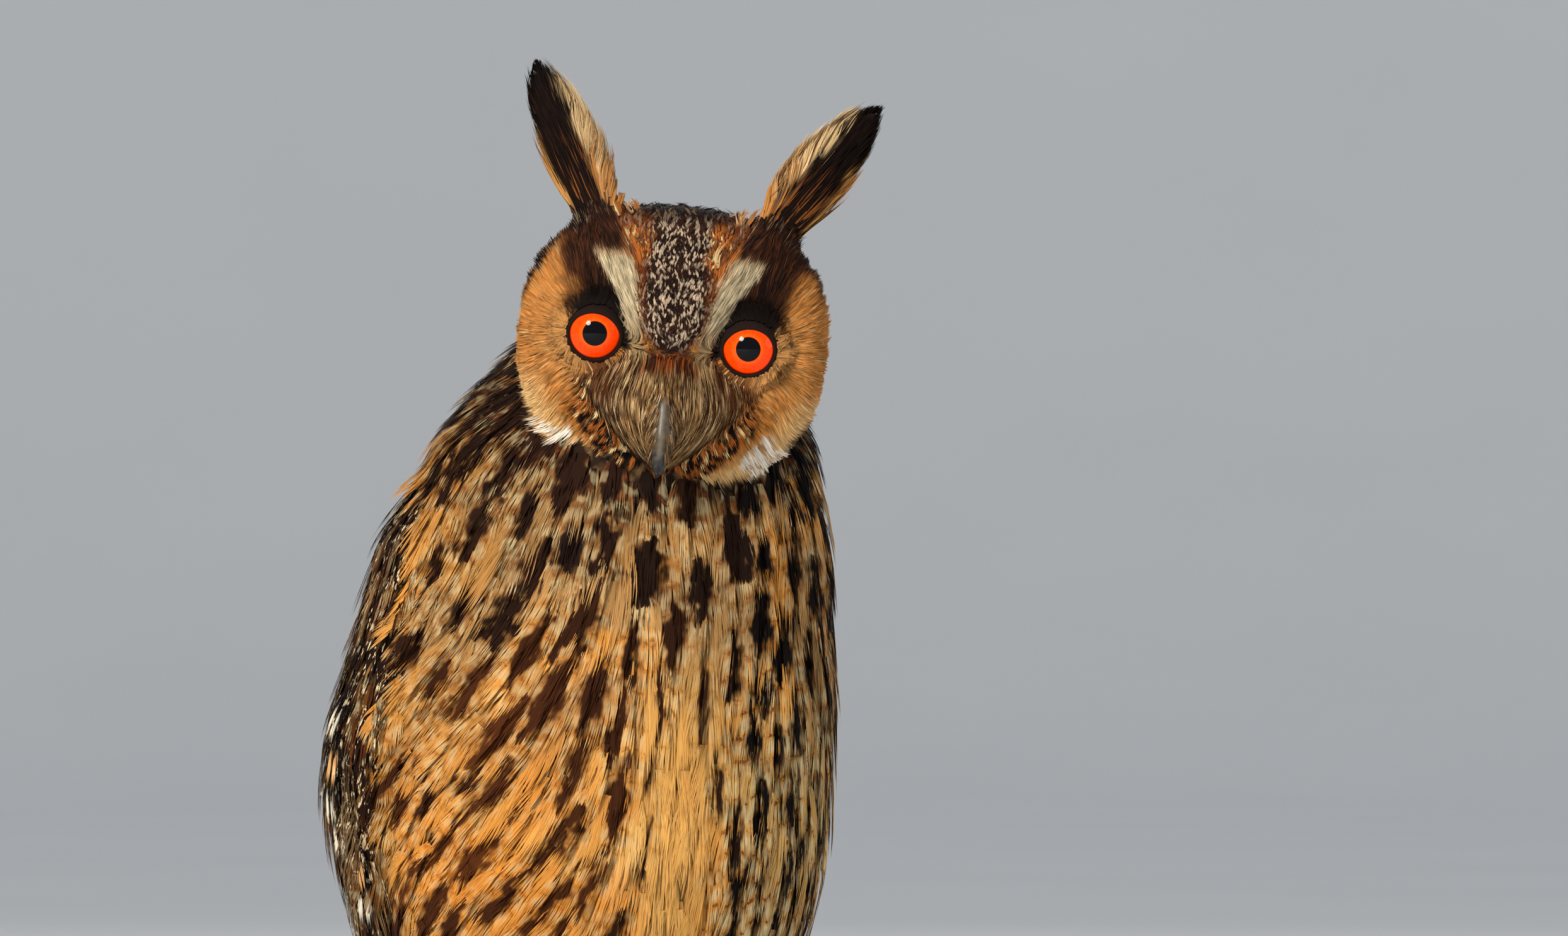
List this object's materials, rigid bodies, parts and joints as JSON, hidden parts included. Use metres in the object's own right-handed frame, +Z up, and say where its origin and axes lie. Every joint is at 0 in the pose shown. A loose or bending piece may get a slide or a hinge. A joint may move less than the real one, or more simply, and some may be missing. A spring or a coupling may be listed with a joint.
{
  "type": "long-eared owl model",
  "caption": "Life-size still model of a long-eared owl gripping a short cut branch on a plain round display stand, with its head turned to its right.",
  "frame": {"origin": "middle of the stand's underside, on the floor", "axes": "+Z up, -Y the way the owl's body faces, +X to the owl's left along the perch"},
  "size_m": [0.224, 0.224, 0.3918],
  "materials": {
    "plumage_face": "soft matte feathers",
    "plumage_breast": "soft matte feathers",
    "plumage_dark": "soft matte feathers",
    "eye": "wet gloss",
    "horn": "satin horn",
    "bark": "rough bark",
    "stand": "satin lacquer",
    "stand_rod": "satin"
  },
  "bodies": {
    "root": {"head": "plumage_face", "neck": "plumage_dark", "trunk": "plumage_breast", "tail": "plumage_dark", "wing_left": "plumage_dark", "wing_right": "plumage_dark", "ear_tuft_left": "plumage_dark", "ear_tuft_right": "plumage_dark", "leg_left": "plumage_breast", "leg_right": "plumage_breast", "foot_left": "plumage_breast", "foot_right": "plumage_breast", "eye_left": "eye", "eye_right": "eye", "bill_upper": "horn", "talon_left_inner": "horn", "talon_left_middle": "horn", "talon_left_outer": "horn", "talon_left_hind": "horn", "talon_right_inner": "horn", "talon_right_middle": "horn", "talon_right_outer": "horn", "talon_right_hind": "horn", "perch": "bark", "stand_base": "stand", "stand_rod_left": "stand_rod", "stand_rod_right": "stand_rod"}
  },
  "joints": []
}
